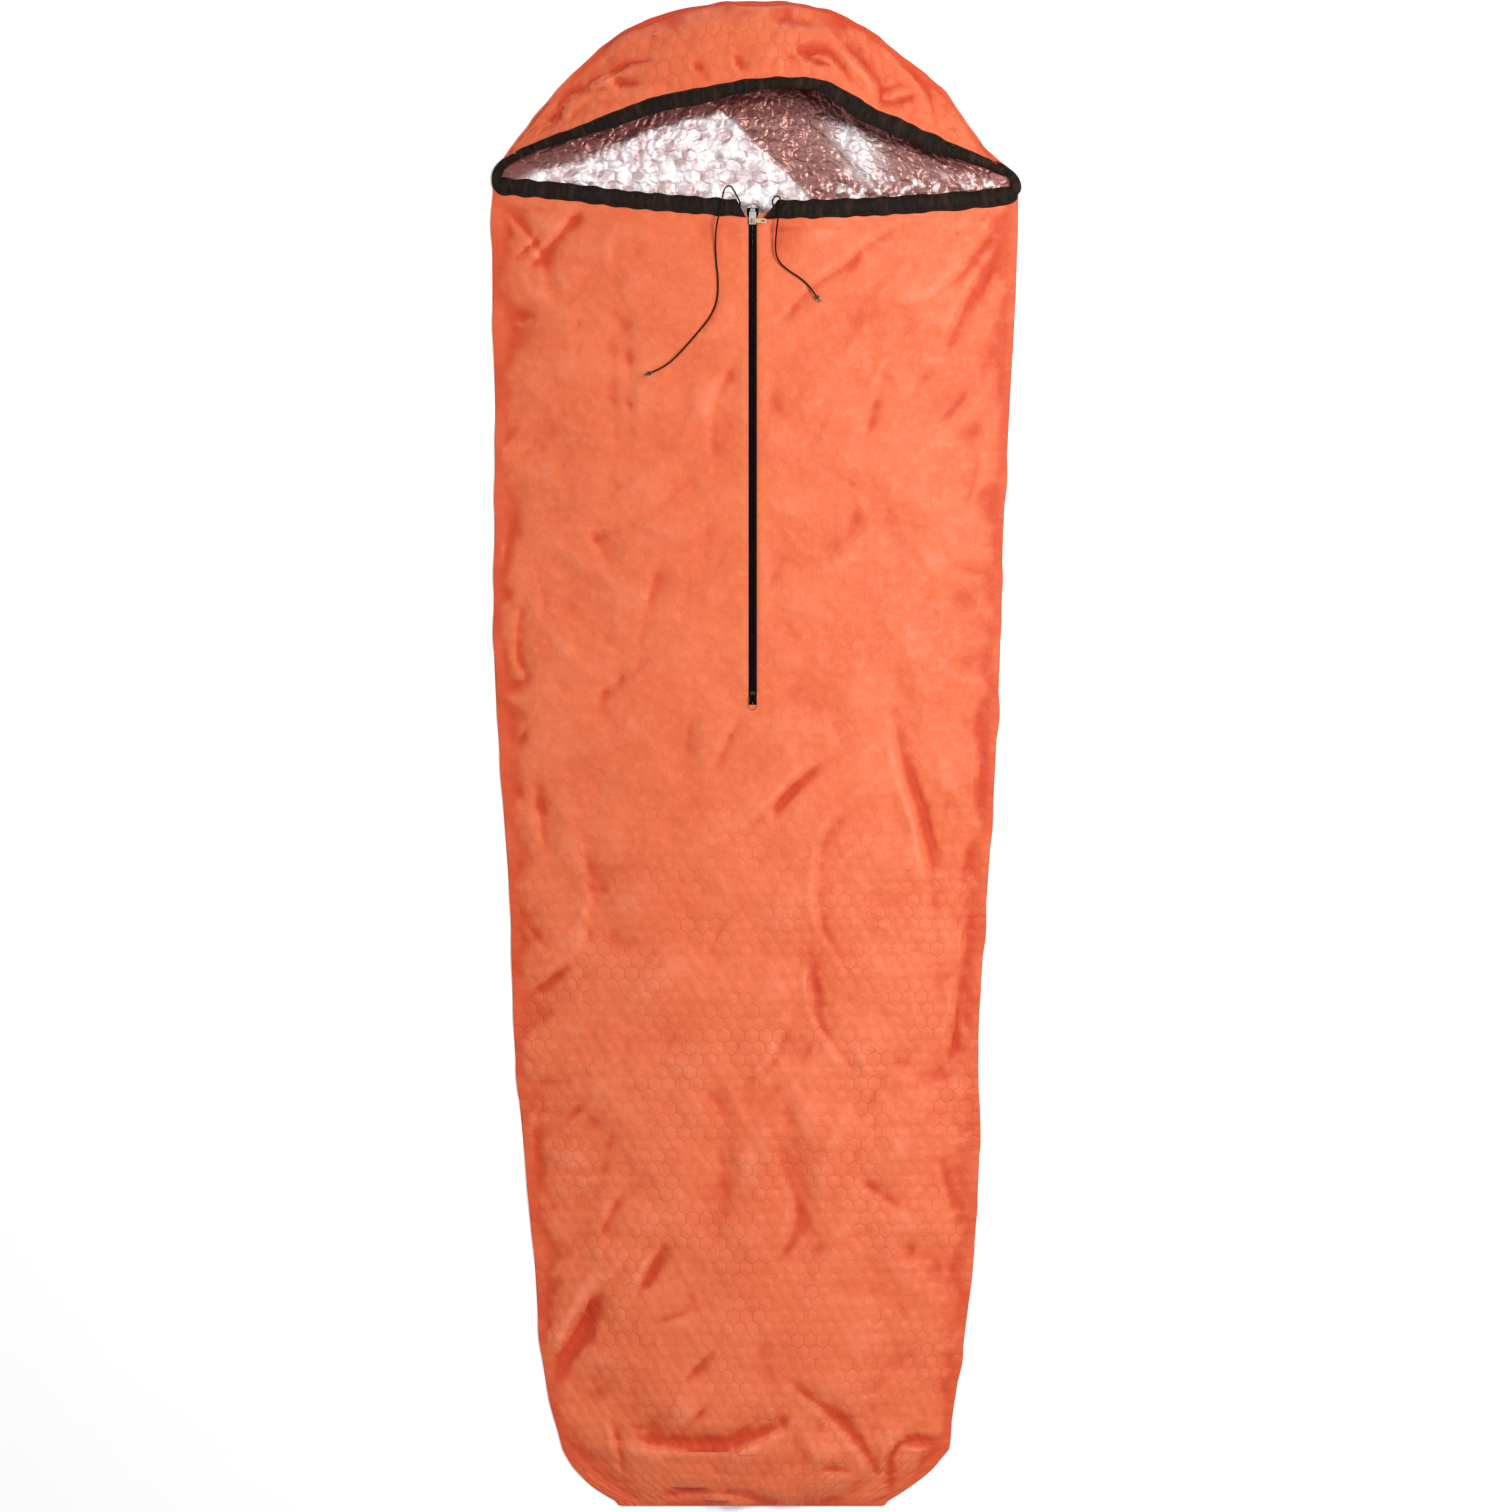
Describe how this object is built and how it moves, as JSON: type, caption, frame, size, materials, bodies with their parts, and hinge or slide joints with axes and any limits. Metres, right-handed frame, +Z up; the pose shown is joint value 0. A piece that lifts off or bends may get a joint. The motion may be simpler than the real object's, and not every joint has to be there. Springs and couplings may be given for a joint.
{
  "type": "bivy sack",
  "caption": "Hooded emergency bivy sack in orange fabric with a reflective inside, a drawcord round the mouth and a short centre zip, lying on its back.",
  "frame": {"origin": "centre of the sack's footprint, on the ground it lies on", "axes": "+Z up from the ground, +Y along the sack to the crown of the hood, +X across the sack to the right as seen from above"},
  "size_m": [0.7497, 2.13, 0.0807],
  "materials": {
    "shell_orange": "satin",
    "film_reflective": "metallic",
    "seam_tape": "satin",
    "casing_black": "matte",
    "cord_black": "matte",
    "zip_tape_black": "matte",
    "zip_coil_black": "satin",
    "zip_metal": "polished",
    "tab_metal": "brushed"
  },
  "bodies": {
    "sack": {"front_panel": "shell_orange", "front_lining": "film_reflective", "back_panel": "shell_orange", "back_lining": "film_reflective", "foot_panel": "shell_orange", "foot_lining": "film_reflective", "side_seam_tape_left": "seam_tape", "side_seam_tape_right": "seam_tape", "foot_seam_tape": "seam_tape", "lip_casing_left": "casing_black", "lip_casing_right": "casing_black", "drawcord_run_left": "cord_black", "drawcord_run_right": "cord_black", "drawcord_tail_left": "cord_black", "drawcord_tail_right": "cord_black", "cord_knot_left": "cord_black", "cord_knot_right": "cord_black", "zip_tape_left": "zip_tape_black", "zip_tape_right": "zip_tape_black", "zip_coil_left": "zip_coil_black", "zip_coil_right": "zip_coil_black", "zip_top_stop_left": "zip_coil_black", "zip_top_stop_right": "zip_coil_black", "zip_bottom_stop": "zip_metal", "zip_end_bartack": "zip_tape_black"},
    "hood": {"hood_panel": "shell_orange", "hood_lining": "film_reflective", "hood_back_panel": "shell_orange", "hood_back_lining": "film_reflective", "crown_seam_tape": "seam_tape", "hood_casing": "casing_black", "drawcord_run_hood": "cord_black"},
    "slider": {"zip_slider_body": "zip_metal", "zip_slider_crown": "zip_metal"},
    "pull": {"zip_pull_tab": "tab_metal"}
  },
  "joints": [
    {"name": "hood_lift", "type": "hinge", "parent": "sack", "child": "hood", "pos_m": [0, 0.806, 0.0024], "axis": [1, 0, 0], "range_deg": [0, 75]},
    {"name": "zip_slide", "type": "slide", "parent": "sack", "child": "slider", "axis": [0, -1, 0], "range_m": [0, 0.655]},
    {"name": "pull_swing", "type": "hinge", "parent": "slider", "child": "pull", "pos_m": [-0.004, 0.7493, 0.06725], "axis": [0, -1, 0], "range_deg": [0, 158]}
  ]
}
